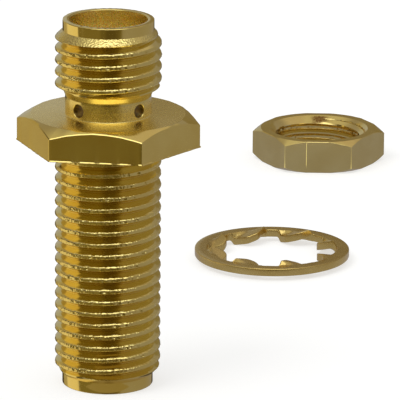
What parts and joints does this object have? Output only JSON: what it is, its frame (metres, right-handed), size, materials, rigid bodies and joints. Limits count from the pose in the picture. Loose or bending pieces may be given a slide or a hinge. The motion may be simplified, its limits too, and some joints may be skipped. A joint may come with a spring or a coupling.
{
  "type": "coaxial bulkhead connector",
  "caption": "Gold-plated threaded coaxial bulkhead adapter with a socket at each end and a hexagon flange, with its thin nut and toothed lock washer laid beside it.",
  "frame": {"origin": "centre of the mouth of the rear socket, on the adapter's rear end face, which it stands on", "axes": "+Z along the adapter's axis from the rear socket to the front one; -Y is the normal of one flat of the flange; the loose washer and nut lie towards +Y"},
  "size_m": [0.0169, 0.062, 0.0223],
  "materials": {
    "gold_plated_brass": "polished gold plate on turned brass",
    "ptfe": "waxy white fluoropolymer",
    "gold_plated_contact": "bright gold plate on beryllium copper",
    "epoxy": "cast amber-brown epoxy",
    "gold_plated_nut": "gold plate on milled brass",
    "gold_plated_washer": "matte gold plate on stamped bronze"
  },
  "bodies": {
    "root": {"connector_body": "gold_plated_brass", "dielectric_bead": "ptfe", "centre_contact": "gold_plated_contact", "epoxy_key": "epoxy", "hex_nut": "gold_plated_nut", "lock_washer": "gold_plated_washer"}
  },
  "joints": []
}
